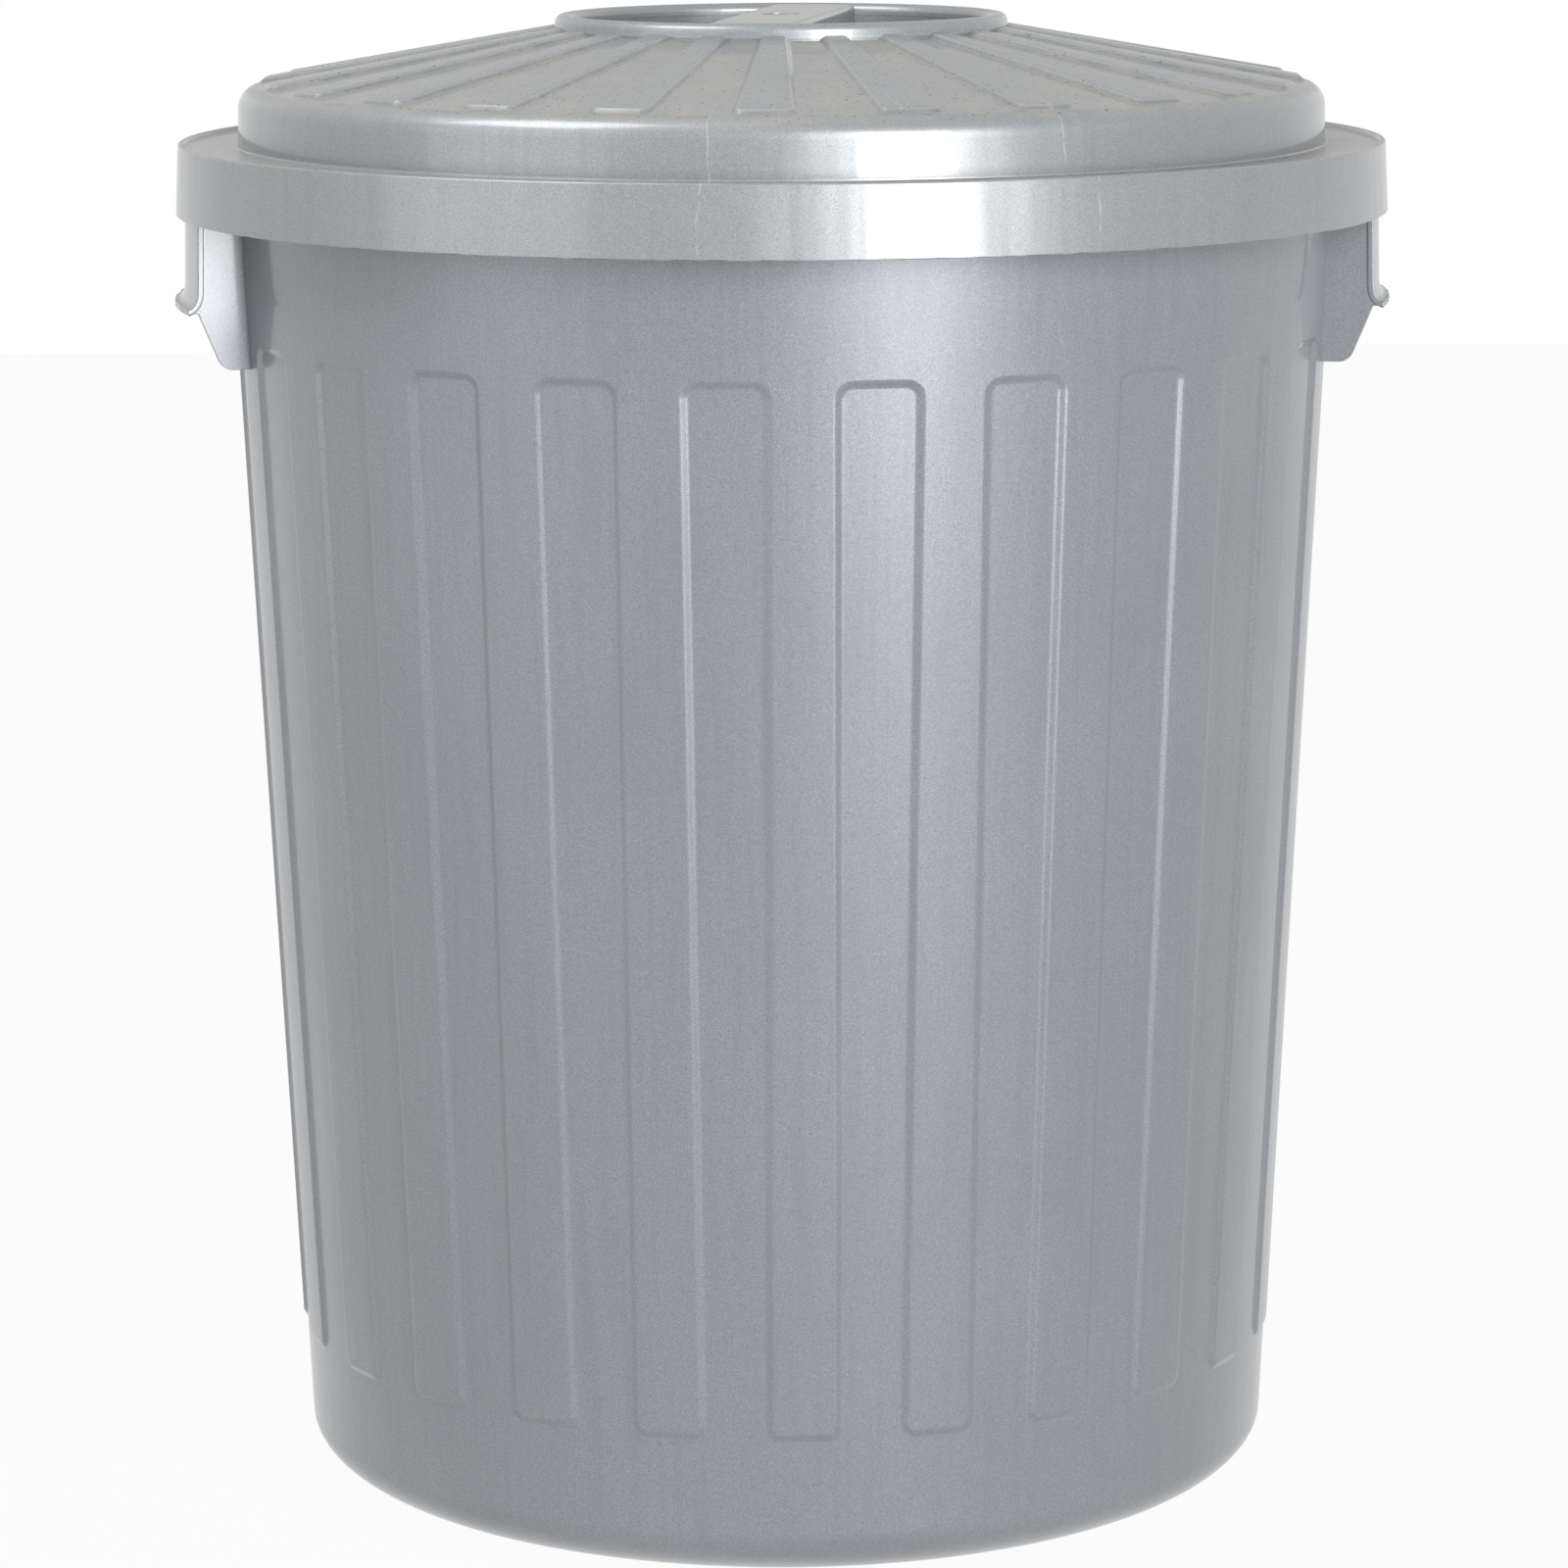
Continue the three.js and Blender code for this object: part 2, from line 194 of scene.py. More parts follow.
def makeWallPanel(shape):
    pitch = 2 * math.pi * shape["baseRadius"] / shape["ribs"]
    tall = shape["high"] - shape["low"]
    foot = shape["ribFoot"] - shape["low"]
    head = shape["recessTop"] - shape["low"]
    # the panel widens later with the wall, so the rib leans inward here
    wideFoot = shape["ribHalf"] * shape["baseRadius"] / recessRadius(shape["ribFoot"])
    wideHead = shape["ribHalf"] * shape["baseRadius"] / recessRadius(shape["recessTop"])
    letGo()
    bpy.ops.mesh.primitive_plane_add(size=1, location=(0, 0, tall / 2), rotation=(math.radians(90), 0, 0))
    panel = named("binMoulding")
    panel.scale = (pitch, tall, 1)
    fix(panel)
    openUp(panel)
    cut((0, 0, foot), (0, 0, 1))
    cut((0, 0, head), (0, 0, 1))
    for side in (1, -1):
        cut((side * wideFoot, 0, foot), (side * (head - foot), 0, wideFoot - wideHead))
    inRib = lambda m: m.z > head or (abs(m.x) < wideHead - 0.002 and m.z > foot)
    pick("FACE", lambda f: inRib(middle(f)))
    bpy.ops.mesh.dissolve_faces()
    pick("FACE", lambda f: not any(corner.co.z > tall - 1e-5 for corner in f.verts))
    bpy.ops.mesh.dissolve_faces()
    for height, corner in ((foot, "footCorner"), (head, "headCorner")):
        pick("VERT", lambda v: abs(v.co.z - height) < 1e-5 and abs(v.co.x) < pitch / 2 - 1e-4)
        bpy.ops.mesh.bevel(offset=shape[corner], segments=6, affect="VERTICES")
    pick("FACE", lambda f: any(corner.co.z > tall - 1e-5 for corner in f.verts))
    bpy.ops.mesh.inset(thickness=shape["ribSlope"], depth=shape["ribStep"], use_boundary=False)
    flat = lambda e, depth: all(abs(corner.co.y + depth) < 1e-5 for corner in e.verts)
    pick("EDGE", lambda e: len(e.link_faces) == 2 and e.calc_face_angle() > 0.2
         and (flat(e, 0) or flat(e, shape["ribStep"])))
    bpy.ops.mesh.bevel(offset=shape["crease"], segments=3, affect="EDGES")
    sliceUpright(shape["slices"])
    letGo()
    return panel, pitch, tall


def makeBin(shape):
    wallPiece, pitch, tall = makeWallPanel(shape)
    rollUp(wallPiece, pitch, shape["ribs"])
    settle(wallPiece, "SIMPLE_DEFORM", deform_method="TAPER", deform_axis="Z",
           factor=shape["draft"] * tall / shape["baseRadius"])
    wallPiece.location.z = shape["low"]
    fix(wallPiece)

    openUp(wallPiece)
    wall, raised, rim = shape["wall"], shape["baseRaise"], shape["rimHeight"]
    footOuter, footInner = shape["footRadius"], shape["footRadius"] - shape["footWidth"]
    # base edge, foot ring and the raised base inside it
    pick("EDGE", lambda e: e.is_boundary and middle(e).z < shape["low"] + 1e-4)
    carryRing(shape["baseRadius"], shape["low"],
              sweepArc(footOuter, shape["low"], shape["baseRadius"] - footOuter, shape["low"], 0, -90, 14)
              + [(footInner + 0.0008, 0), (footInner, 0.0003), (footInner - raised + 0.0003, raised - 0.0004),
                 (footInner - raised - 0.0008, raised)]
              + [(ring, raised) for ring in shape["baseRings"]])
    bpy.ops.mesh.edge_face_add()
    # rim, lip, mouth and inside
    bandTop = (shape["baseRadius"] + shape["ribStep"]) * (1 + shape["draft"] * tall / shape["baseRadius"])
    under, lipLow, bend = shape["high"], shape["lipEnd"], shape["rimRound"]
    mouth = recessRadius(rim) - wall
    pick("EDGE", lambda e: e.is_boundary and middle(e).z > under - 1e-4)
    carryRing(bandTop, under,
              [(lipOuter(under) - wall, under), (lipOuter(lipLow) - wall, lipLow), (lipOuter(lipLow), lipLow),
               (lipOuter(rim - bend), rim - bend)]
              + sweepArc(lipOuter(rim) - bend, rim - bend, bend, bend, 0, 90, 3)
              + sweepArc(mouth + bend, rim - bend, bend, bend, 90, 180, 3, 0)
              + [(recessRadius(shape["low"] + 0.002) - wall, shape["low"] + 0.002)]
              + sweepArc(footOuter, shape["low"], shape["baseRadius"] - footOuter - wall,
                         shape["low"] - raised - wall, 0, -90, 8, 0)
              + [(ring, raised + wall) for ring in shape["baseRings"]])
    bpy.ops.mesh.edge_face_add()
    makeHandles(wallPiece, shape)
    letGo()
    addWebs(wallPiece, shape)
    smoothPiece(wallPiece)
    return wallPiece


# the lip runs down into the two pocket handles, whose lower edges turn outward
def makeHandles(piece, shape):
    wall, half = shape["wall"], math.radians(shape["handleHalf"])
    lipLow, rim = shape["lipEnd"], shape["rimHeight"]
    across = lambda p: abs(math.atan2(p.y, abs(p.x)))
    for side in (half, -half):
        pick("FACE", lambda f: Vector(middle(f)[:2]).length > lipOuter(rim) - wall - 0.001
             and lipLow - 1e-4 < middle(f).z < rim - 0.002)
        bpy.ops.mesh.bisect(plane_co=(0, 0, 0), plane_no=(-math.sin(side), math.cos(side), 0), threshold=1e-7)
    pick("FACE", lambda f: abs(middle(f).z - lipLow) < 1e-5 and abs(f.normal.z) > 0.9
         and across(middle(f)) < half)
    turn = shape["handleTurn"]
    end = lipOuter(turn) + shape["flare"]
    stations = [((lipOuter(turn), turn), (lipOuter(turn) - wall, turn))]
    outer = sweepArc(end, turn, shape["flare"], shape["flareHeight"] - wall, 180, 270, 6)
    inner = sweepArc(end, turn, shape["flare"] + wall, shape["flareHeight"], 180, 270, 6)
    stations += list(zip(outer, inner))
    for outerSpot, innerSpot in stations:
        bpy.ops.mesh.extrude_region_move(TRANSFORM_OT_translate={"value": (0, 0, 0)})
        placeEdges(outerSpot, innerSpot)
    # worn, slightly rounded edges
    pick("EDGE", lambda e: len(e.link_faces) == 2 and middle(e).z < lipLow + 1e-4 and e.is_convex
         and Vector(middle(e)[:2]).length > lipOuter(rim) - wall - 0.001 and e.calc_face_angle() > 0.9)
    bpy.ops.mesh.bevel(offset=shape["handleEdge"], segments=2, affect="EDGES")
    # the turned edge is a little torn
    pick("VERT", lambda v: v.co.z < turn - 0.004 and Vector(v.co[:2]).length > end - 0.0008)
    bpy.ops.transform.vertex_random(offset=shape["tear"], uniform=1, seed=7)


# moves the outer and inner edges of the selected end faces to their radius and height
def placeEdges(outerSpot, innerSpot):
    shape = bmesh.from_edit_mesh(bpy.context.object.data)
    ring = {v.index: Vector((v.co.x, v.co.y)).length for v in shape.verts if v.select}
    heights = {v.index: v.co.z for v in shape.verts if v.select}
    line = (min(ring.values()) + max(ring.values())) / 2
    for spot, chosen in ((outerSpot, [i for i in ring if ring[i] > line]),
                         (innerSpot, [i for i in ring if ring[i] <= line])):
        group = set(chosen)
        pick("VERT", lambda v: v.index in group)
        factor = spot[0] / (sum(ring[i] for i in chosen) / len(chosen))
        grow(factor, factor, 1)
        shift(z=spot[1] - sum(heights[i] for i in chosen) / len(chosen))
    pick("FACE", lambda f: all(v.index in ring for v in f.verts))


# a side web: its outline is drawn point by point, filled and given its thickness
def makeWeb(shape, name):
    wall, rim, low = shape["wall"], shape["rimHeight"], shape["webBottom"]
    handleLow = shape["handleTurn"] - shape["flareHeight"]
    toe = recessRadius(low) + 0.0016 + shape["webToe"]
    foot = lipOuter(handleLow) - 0.0005
    outline = [(recessRadius(low) - 0.0005, low), (toe, low), (foot, handleLow + 0.0005),
               (foot + 0.0032, handleLow + 0.0005), (foot + 0.0032, handleLow + 0.0012),
               (lipOuter(shape["handleTurn"]) - wall + 0.0005, shape["handleTurn"]),
               (lipOuter(shape["high"]) - wall / 2, shape["high"] + wall / 2),
               (recessRadius(shape["high"]) - 0.0005, shape["high"] + wall / 2)]
    letGo()
    bpy.ops.mesh.primitive_plane_add(size=0.01, location=(outline[0][0], 0, outline[0][1]))
    web = named(name)
    fix(web)
    openUp(web)
    bpy.ops.mesh.select_mode(type="VERT")
    bpy.ops.mesh.select_all(action="SELECT")
    bpy.ops.mesh.merge(type="CENTER")
    for before, after in zip(outline, outline[1:]):
        bpy.ops.mesh.extrude_region_move(
            TRANSFORM_OT_translate={"value": (after[0] - before[0], 0, after[1] - before[1])})
    bpy.ops.mesh.select_all(action="SELECT")
    bpy.ops.mesh.edge_face_add()
    pick("VERT", lambda v: abs(v.co.x - toe) < 1e-5 and abs(v.co.z - low) < 1e-5)
    bpy.ops.mesh.bevel(offset=shape["webCorner"], segments=5, affect="VERTICES")
    bpy.ops.mesh.select_all(action="SELECT")
    shift(y=-wall / 2)
    bpy.ops.mesh.extrude_region_move(TRANSFORM_OT_translate={"value": (0, wall, 0)})
    bpy.ops.mesh.select_all(action="SELECT")
    bpy.ops.mesh.normals_make_consistent(inside=False)
    pick("EDGE", lambda e: e.calc_face_angle() > 0.9 and abs(middle(e).y) > wall / 2 - 1e-5)
    bpy.ops.mesh.bevel(offset=shape["webEdge"], segments=2, affect="EDGES")
    letGo()
    return web


def addWebs(piece, shape):
    web = makeWeb(shape, "handleWeb")
    for side in shape["webTurns"]:
        take(web)
        bpy.ops.object.duplicate(linked=False)
        plate = bpy.context.object
        plate.rotation_euler.z = math.radians(side)
        fix(plate)
        joinSolid(piece, plate, "UNION")
    bpy.data.objects.remove(web)


def joinSolid(piece, tool, way):
    settle(piece, "BOOLEAN", operation=way, object=tool, solver="MANIFOLD")
    bpy.data.objects.remove(tool)


# the lid: ribbed cone, shoulder, flange, skirt, collar, wells and grip
lidShape = {
    "ribs": 24, "turn": -3.7, "lean": 0.1735, "collarRadius": 0.0933, "collarFoot": 0.6054,
    "edgeRadius": 0.21614, "ribEnd": 0.2156, "halfInner": 0.0066, "halfOuter": 0.013,
    "ribStep": 0.002, "ribSlope": 0.0026, "ribCorner": 0.0045, "crease": 0.0007,
    "slices": (0.0022, 0.0044, 0.0066, 0.0086, 0.0119, 0.0164, 0.0188, 0.0212, 0.0236, 0.0259),
    "shoulder": 0.009, "domeRadius": 0.2236, "domeFoot": 0.2239, "flangeTop": 0.5595, "wall": 0.0022,
    "skirtTop": 0.5611, "skirtEnd": 0.5323, "skirtInner": 0.2466, "skirtDraft": 0.048,
    "collarTop": 0.6122, "collarWidth": 0.0068, "wellFoot": 0.0859, "wellFloor": 0.5824, "wellCorner": 0.003,
    "ridgeWidth": 0.0355, "ridgeTop": 0.6118, "ridgeDraft": 0.04, "ridgeRound": 0.0025,
    "ridgeTurn": -7.5, "gateRadius": 0.0082, "gateDepth": 0.0006, "gateEdge": 0.0004, "flash": 0.00012,
    "flangeUnder": 0.5573, "collarUnder": 0.6094, "beadHeight": 0.0009, "centreRing": 0.03,
    "stations": (0.012, 0.035, 0.06, 0.085, 0.105),
}


def skirtInner(height, shape=lidShape):
    return shape["skirtInner"] + shape["skirtDraft"] * (shape["flangeUnder"] - height)


def makeLidPanel(shape):
    pitch = 2 * math.pi * shape["edgeRadius"] / shape["ribs"]
    lean = math.atan(shape["lean"])
    long = (shape["edgeRadius"] - shape["collarRadius"]) / math.cos(lean) + 0.0015
    radiusAt = lambda y: shape["edgeRadius"] - y * math.cos(lean)
    spread = (shape["halfOuter"] - shape["halfInner"]) / (0.216 - shape["collarRadius"])
    halfAt = lambda r: shape["halfInner"] + spread * (r - shape["collarRadius"])
    wide = lambda y, inset=0: (halfAt(radiusAt(y)) - inset) * shape["edgeRadius"] / radiusAt(y)
    end = (shape["edgeRadius"] - shape["ribEnd"]) / math.cos(lean)
    letGo()
    bpy.ops.mesh.primitive_plane_add(size=1, location=(0, long / 2, 0))
    panel = named("lidMoulding")
    panel.scale = (pitch, long, 1)
    fix(panel)
    openUp(panel)
    cut((0, end, 0), (0, 1, 0))
    for side in (1, -1):
        cut((side * wide(end), end, 0), (side * (long - end), wide(end) - wide(long), 0))
    pick("FACE", lambda f: abs(middle(f).x) > wide(end) / 2 or middle(f).y < end)
    bpy.ops.mesh.dissolve_faces()
    pick("VERT", lambda v: abs(v.co.y - end) < 1e-5 and abs(v.co.x) < pitch / 2 - 1e-4)
    bpy.ops.mesh.bevel(offset=shape["ribCorner"], segments=5, affect="VERTICES")
    for station in shape["stations"]:
        cut((0, station, 0), (0, 1, 0))
    straight = lambda y: wide(end) + (wide(long) - wide(end)) * (y - end) / (long - end)
    for station in shape["stations"]:
        pick("VERT", lambda v: abs(v.co.y - station) < 1e-5 and 0.005 < abs(v.co.x) < 0.02)
        grow(wide(station) / straight(station), 1, 1)
    pick("FACE", lambda f: all(abs(corner.co.x) < 0.02 for corner in f.verts))
    bpy.ops.mesh.inset(thickness=shape["ribSlope"], depth=shape["ribStep"], use_boundary=False)
    # the slopes keep their width where the ribs run together
    for station in shape["stations"] + (long,):
        crest = pick("VERT", lambda v: abs(v.co.y - station) < 0.0006 and v.co.z > 0.001)
        shapeNow = bmesh.from_edit_mesh(bpy.context.object.data)
        now = max(abs(v.co.x) for v in shapeNow.verts if v.index in crest)
        grow(wide(station, shape["ribSlope"]) / now, 1, 1)
    level = lambda e, height: all(abs(corner.co.z - height) < 1e-5 for corner in e.verts)
    pick("EDGE", lambda e: len(e.link_faces) == 2 and e.calc_face_angle() > 0.2
         and (level(e, 0) or level(e, shape["ribStep"])))
    bpy.ops.mesh.bevel(offset=shape["crease"], segments=3, affect="EDGES")
    sliceUpright(shape["slices"])
    letGo()
    # leans up to the collar, then its inner end is trimmed upright
    panel.rotation_euler.x = lean
    fix(panel)
    openUp(panel)
    cut((0, shape["edgeRadius"] - shape["collarRadius"], 0), (0, 1, 0), clear_outer=True)
    letGo()
    return panel, pitch


def makeLid(shape):
    lid, pitch = makeLidPanel(shape)
    lean = math.atan(shape["lean"])
    edge = shape["edgeRadius"]
    edgeHeight = shape["collarFoot"] - shape["lean"] * (edge - shape["collarRadius"])
    rollUp(lid, pitch, shape["ribs"], lift=edgeHeight)
    openUp(lid)
    wall, flange, shoulder = shape["wall"], shape["flangeTop"], shape["shoulder"]
    leanDegrees = math.degrees(lean)
    shoulderRadius = shape["domeRadius"] - shoulder
    shoulderHeight = edgeHeight - shoulder * math.cos(lean)
    skirtTop, skirtEnd, bead = shape["skirtTop"], shape["skirtEnd"], shape["beadHeight"]
    flangeUnder, collarUnder = shape["flangeUnder"], shape["collarUnder"]
    outside = (
        sweepArc(shoulderRadius, shoulderHeight, shoulder, shoulder, 90 - leanDegrees, 0, 10)
        + [(shape["domeFoot"], flange + 0.0012), (shape["domeFoot"] + 0.0003, flange + 0.0004),
           (shape["domeFoot"] + 0.0011, flange)]
        + [(skirtInner(flange) - 0.0012, flange), (skirtInner(flange) - 0.0004, flange + 0.0003)]
        + sweepArc(skirtInner(skirtTop) + wall / 2, skirtTop - bead, wall / 2, bead, 180, 0, 7, 0)
        + [(skirtInner(skirtEnd) + wall - 0.00016, skirtEnd + 0.0004),
           (skirtInner(skirtEnd) + wall - 0.0005, skirtEnd)])
    inside = (
        [(skirtInner(skirtEnd) + 0.0004, skirtEnd), (skirtInner(skirtEnd), skirtEnd + 0.0004),
         (skirtInner(flangeUnder), flangeUnder), (shape["domeFoot"] - wall, flangeUnder),
         (shape["domeRadius"] - wall, shoulderHeight)]
        + sweepArc(shoulderRadius, shoulderHeight, shoulder - wall, shoulder - wall, 0, 90 - leanDegrees, 5))
    collarInside = shape["collarRadius"] - wall
    underCone = (shape["collarFoot"] - shape["lean"] * (collarInside - shape["collarRadius"])
                 - wall / math.cos(lean))
    wellTop = shape["collarRadius"] - shape["collarWidth"]
    underWell = shape["wellFloor"] - wall
    hidden = [(collarInside, underCone), (collarInside, collarUnder), (wellTop + wall, collarUnder),
              (shape["wellFoot"] + wall, underWell + shape["wellCorner"]),
              (shape["wellFoot"] + wall - shape["wellCorner"], underWell), (shape["centreRing"], underWell)]
    pick("EDGE", lambda e: e.is_boundary and Vector(middle(e)[:2]).length > 0.2)
    carryRing(edge, edgeHeight, outside + inside + hidden)
    bpy.ops.mesh.edge_face_add()
    # thin flash along the skirt's lower edge
    pick("VERT", lambda v: v.co.z < skirtEnd + 0.0002)
    bpy.ops.transform.vertex_random(offset=shape["flash"], uniform=1, seed=3)
    # collar, wells and their floor
    pick("EDGE", lambda e: e.is_boundary)
    bpy.ops.mesh.extrude_region_move(TRANSFORM_OT_translate={"value": (0, 0, 0.001)})
    collar = shape["collarWidth"] / 2
    level = shape["collarTop"] - collar
    grow(1, 1, 0, (0, 0, level))
    carryRing(shape["collarRadius"], level,
              sweepArc(shape["collarRadius"] - collar, level, collar, collar, 0, 180, 12)
              + [(shape["wellFoot"], shape["wellFloor"] + shape["wellCorner"])]
              + sweepArc(shape["wellFoot"] - shape["wellCorner"], shape["wellFloor"] + shape["wellCorner"],
                         shape["wellCorner"], shape["wellCorner"], 0, -90, 4)
              + [(shape["centreRing"], shape["wellFloor"])])
    bpy.ops.mesh.edge_face_add()
    letGo()
    addGrip(lid, shape)
    lid.rotation_euler.z = math.radians(shape["turn"])
    fix(lid)
    smoothPiece(lid)
    return lid


# a block from one side of the well to the other, its long upper edges rounded
def ridgeBlock(name, half, top, low, edgeRound, endRadius, shape):
    letGo()
    bpy.ops.mesh.primitive_cube_add(size=1, location=(0, 0, (top + low) / 2))
    block = named(name)
    block.scale = (2 * half, 0.22, top - low)
    fix(block)
    openUp(block)
    pick("FACE", lambda f: f.normal.z < -0.9)
    grow(1 + shape["ridgeDraft"] * (top - low) / half, 1, 1)
    pick("EDGE", lambda e: middle(e).z > top - 1e-5 and abs(middle(e).x) > half - 1e-5)
    bpy.ops.mesh.bevel(offset=edgeRound, segments=5, affect="EDGES")
    letGo()
    bpy.ops.mesh.primitive_cylinder_add(vertices=96, radius=endRadius, depth=0.2, location=(0, 0, low))
    drum = named(name + "End")
    fix(drum)
    joinSolid(block, drum, "INTERSECT")
    block.rotation_euler.z = math.radians(shape["ridgeTurn"])
    fix(block)
    return block


def addGrip(lid, shape):
    half, top, wall = shape["ridgeWidth"] / 2, shape["ridgeTop"], shape["wall"]
    floor = shape["wellFloor"]
    ridge = ridgeBlock("ridge", half, top, floor - wall / 2, shape["ridgeRound"],
                       shape["wellFoot"] + 0.0014, shape)
    joinSolid(lid, ridge, "UNION")
    hollow = ridgeBlock("ridgeHollow", half - wall, top - wall, floor - wall - 0.001, 0.0012,
                        shape["wellFoot"] - wall, shape)
    joinSolid(lid, hollow, "DIFFERENCE")
    letGo()
    bpy.ops.mesh.primitive_cylinder_add(vertices=64, radius=shape["gateRadius"], depth=0.004,
                                        location=(0, 0, top - shape["gateDepth"] + 0.002))
    gate = named("gateMark")
    fix(gate)
    openUp(gate)
    pick("EDGE", lambda e: middle(e).z < top - shape["gateDepth"] + 1e-5 and e.calc_face_angle() > 0.9)
    bpy.ops.mesh.bevel(offset=shape["gateEdge"], segments=2, affect="EDGES")
    letGo()
    joinSolid(lid, gate, "DIFFERENCE")


# a shader socket that Python's own operators work on
class Wire:
    def __init__(self, tree, socket=None):
        self.tree, self.socket = tree, socket

    # any node: its settings first, then the values or links of its sockets
    def node(self, kind, settings=None, sockets=None, output=0):
        made = self.tree.nodes.new(kind)
        for name, value in (settings or {}).items():
            setattr(made, name, value)
        for name, value in (sockets or {}).items():
            if isinstance(value, Wire):
                self.tree.links.new(value.socket, made.inputs[name])
            else:
                made.inputs[name].default_value = value
        return Wire(self.tree, made.outputs[output] if made.outputs else None)

    def maths(self, operation, *values):
        return self.node("ShaderNodeMath", {"operation": operation}, dict(enumerate(values)))

    def __add__(self, other):
        return self.maths("ADD", self, other)

    def __sub__(self, other):
        return self.maths("SUBTRACT", self, other)

    def __rsub__(self, other):
        return self.maths("SUBTRACT", other, self)

    def __mul__(self, other):
        return self.maths("MULTIPLY", self, other)

    def __pow__(self, other):
        return self.maths("POWER", self, other)

    __radd__ = __add__
    __rmul__ = __mul__

    def size(self):
        return self.maths("ABSOLUTE", self)

    # 0 below low, 1 above high, smooth between
    def ease(self, low, high):
        return self.node("ShaderNodeMapRange", {"interpolation_type": "SMOOTHSTEP"},
                         {"Value": self, "From Min": low, "From Max": high})

    def blend(self, first, second):
        return self.node("ShaderNodeMix", {"data_type": "RGBA"}, {0: self, 6: first, 7: second}, 2)


# silver metal-flake plastic; scales are in features per metre
binLook = {
    "name": "silverFlakeBin", "colour": (0.318, 0.334, 0.354, 1), "shade": (0.216, 0.23, 0.249, 1),
    "spark": (0.62, 0.635, 0.65, 1), "metallic": 0.5, "roughness": 0.36, "coat": 0.55, "coatRoughness": 0.07,
    "dust": 0.35, "dustColour": (0.42, 0.395, 0.34, 1), "wave": 0.0005, "welds": (), "cone": (),
    "grainScale": 1900, "flakeScale": 2600, "cloudScale": 11, "waveScale": 34, "streakScale": 240,
    "weldColour": (0.6, 0.61, 0.62, 1), "dustScale": 60, "speckScale": 520, "speckColour": (0.13, 0.085, 0.05, 1),
    # the darker colour at the lid ribs' feet is painted shade, and the lighter colour on their upper edges is a
    # painted highlight
    "footShadeScale": 90, "footShadeColour": (0.13, 0.127, 0.115, 1), "edgeHighlightColour": (0.55, 0.56, 0.57, 1),
}
# the welds are the directions, in degrees, in which two flows of plastic met
lidLook = dict(binLook, name="silverFlakeLid", colour=(0.35, 0.366, 0.378, 1), shade=(0.245, 0.259, 0.271, 1),
               dust=0.55, wave=0.0009, welds=(-99.0, -79.7, -63.2, 61.0, 98.0, 151.0),
               cone=(lidShape["lean"], lidShape["collarFoot"] + lidShape["lean"] * lidShape["collarRadius"]))


